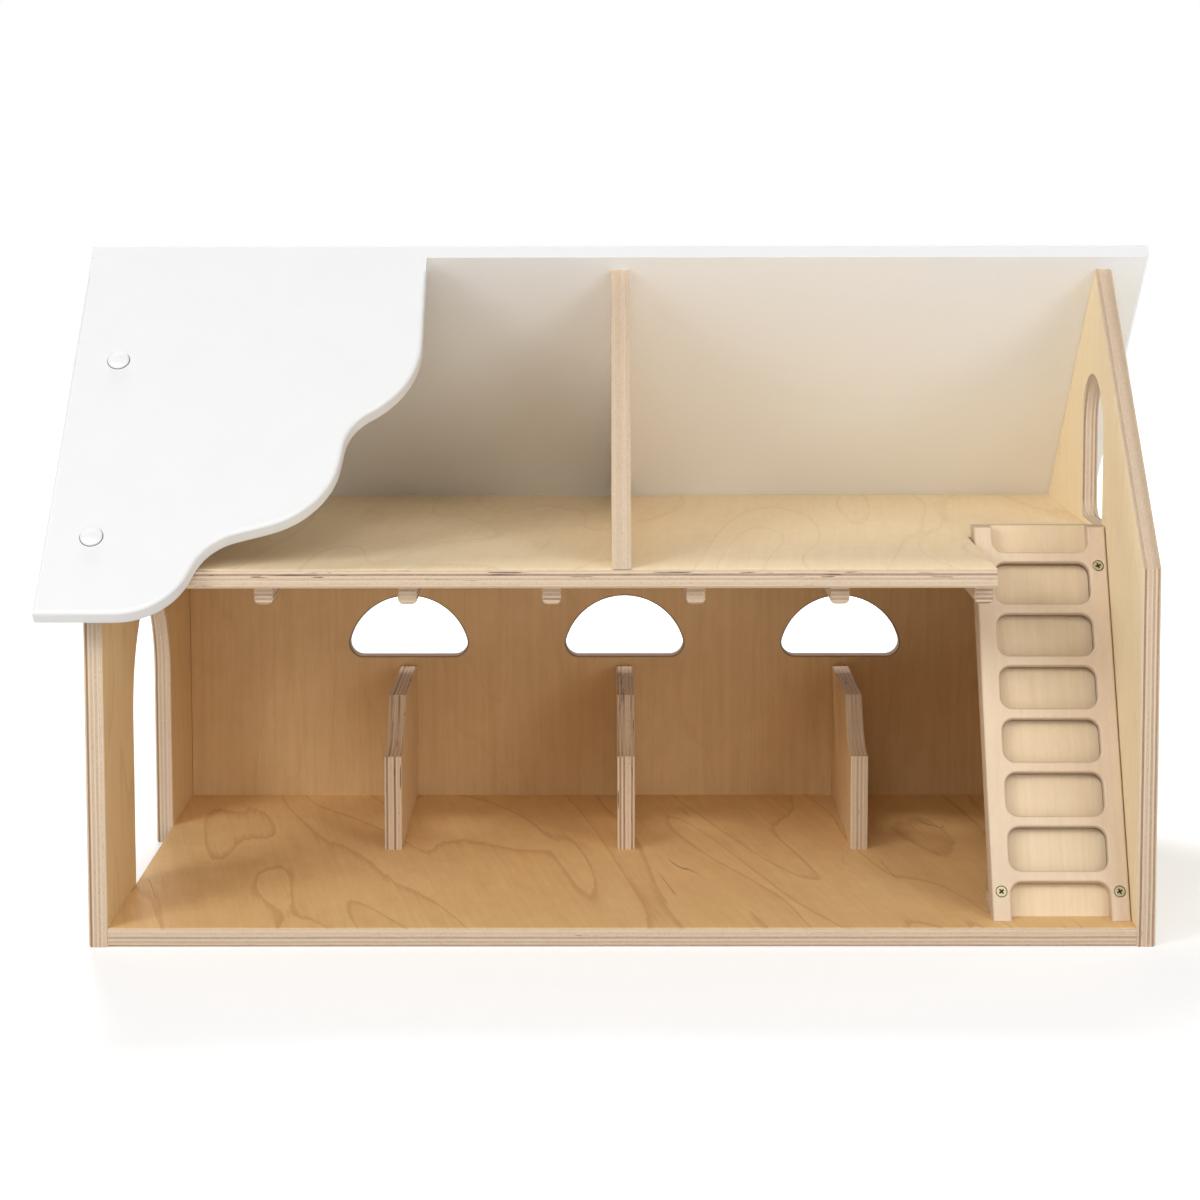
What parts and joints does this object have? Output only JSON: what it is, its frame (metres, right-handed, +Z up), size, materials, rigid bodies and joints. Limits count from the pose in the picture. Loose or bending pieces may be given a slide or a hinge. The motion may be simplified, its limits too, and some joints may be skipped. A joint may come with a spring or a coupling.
{
  "type": "wooden toy farm",
  "caption": "Open-fronted plywood toy barn with stalls below, a loft reached by a ladder, arched openings and a white pitched roof with a wavy front edge.",
  "frame": {"origin": "on the ground under the ridge, midway between the gables", "axes": "+X along the ridge to the ladder side, -Y out of the open front, +Z up"},
  "size_m": [0.706, 0.4222, 0.4269],
  "materials": {
    "birch_plywood": "clear matt lacquer on birch plywood",
    "white_paint": "satin white paint on plywood",
    "white_cap": "glossy moulded white plastic",
    "zinc_screw": "yellow zinc plating",
    "beech_dowel": "bare beech"
  },
  "bodies": {
    "root": {"left_gable": "birch_plywood", "right_gable": "birch_plywood", "floor_panel": "birch_plywood", "back_wall": "birch_plywood", "loft_floor": "birch_plywood", "loft_partition": "birch_plywood", "stall_divider_left": "birch_plywood", "stall_divider_middle": "birch_plywood", "stall_divider_right": "birch_plywood", "ladder_frame": "birch_plywood", "ladder_back": "birch_plywood", "ladder_foot_cleat": "birch_plywood", "ladder_top_cleat": "birch_plywood", "ceiling_beam_1": "birch_plywood", "ceiling_beam_2": "birch_plywood", "ceiling_beam_3": "birch_plywood", "ceiling_beam_4": "birch_plywood", "ceiling_beam_5": "birch_plywood", "ceiling_beam_6": "birch_plywood", "rear_roof": "white_paint", "front_roof": "white_paint", "front_roof_caps": "white_cap", "rear_roof_caps": "white_cap", "ladder_screws": "zinc_screw", "front_roof_screws": "zinc_screw", "rear_roof_screws": "zinc_screw", "floor_dowels": "beech_dowel", "loft_dowels": "beech_dowel", "back_wall_dowels": "beech_dowel", "divider_dowels": "beech_dowel", "partition_dowels": "beech_dowel", "ridge_dowels": "beech_dowel"}
  },
  "joints": []
}
